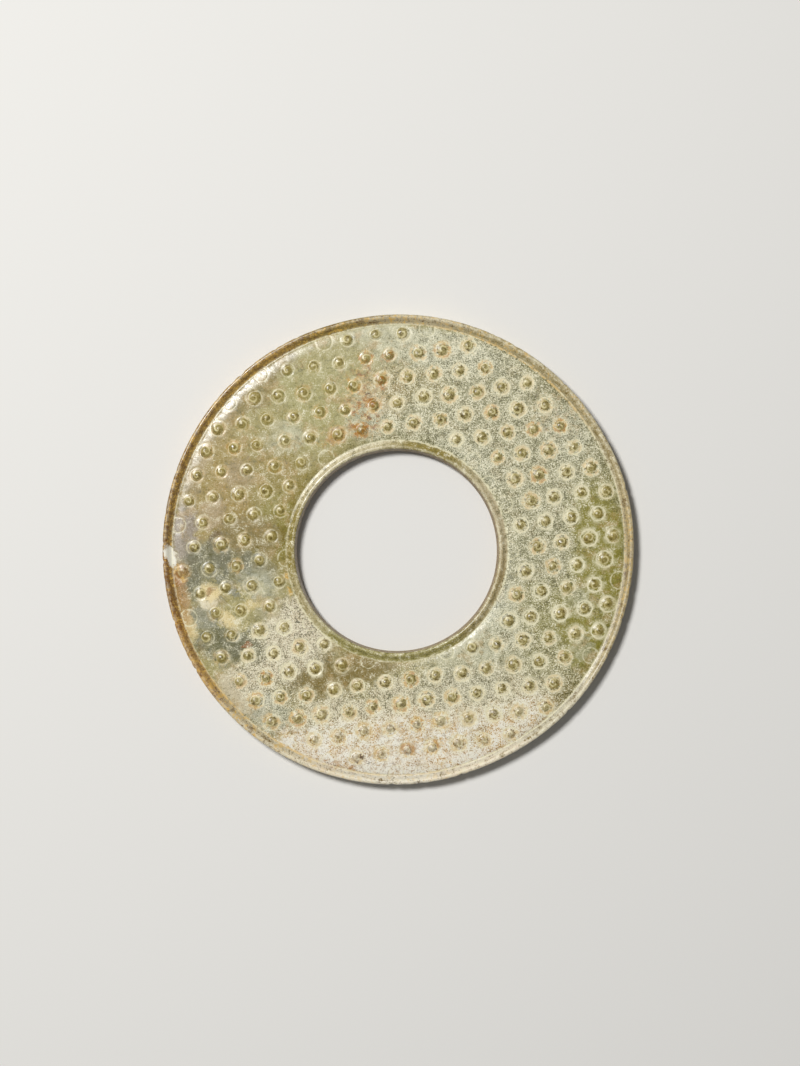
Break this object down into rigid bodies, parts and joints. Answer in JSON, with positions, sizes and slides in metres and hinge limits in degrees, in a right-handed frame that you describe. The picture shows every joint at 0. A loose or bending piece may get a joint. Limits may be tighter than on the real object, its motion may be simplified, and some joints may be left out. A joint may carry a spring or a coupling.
{
  "type": "jade ring disc",
  "caption": "Flat ring disc of jade with a wide round hole, raised rims and a field of small grain bosses on both faces.",
  "frame": {"origin": "centre of the ring's outline, on the plane that the ring lies on", "axes": "+Z is the normal of the front face, through the thickness; +X and +Y lie in the ring's plane"},
  "size_m": [0.1102, 0.11, 0.0047],
  "materials": {
    "jade": "polished nephrite, olive to grey green, clouded white and cream, with rust-brown staining"
  },
  "bodies": {
    "root": {"jade_ring_disc": "jade"}
  },
  "joints": []
}
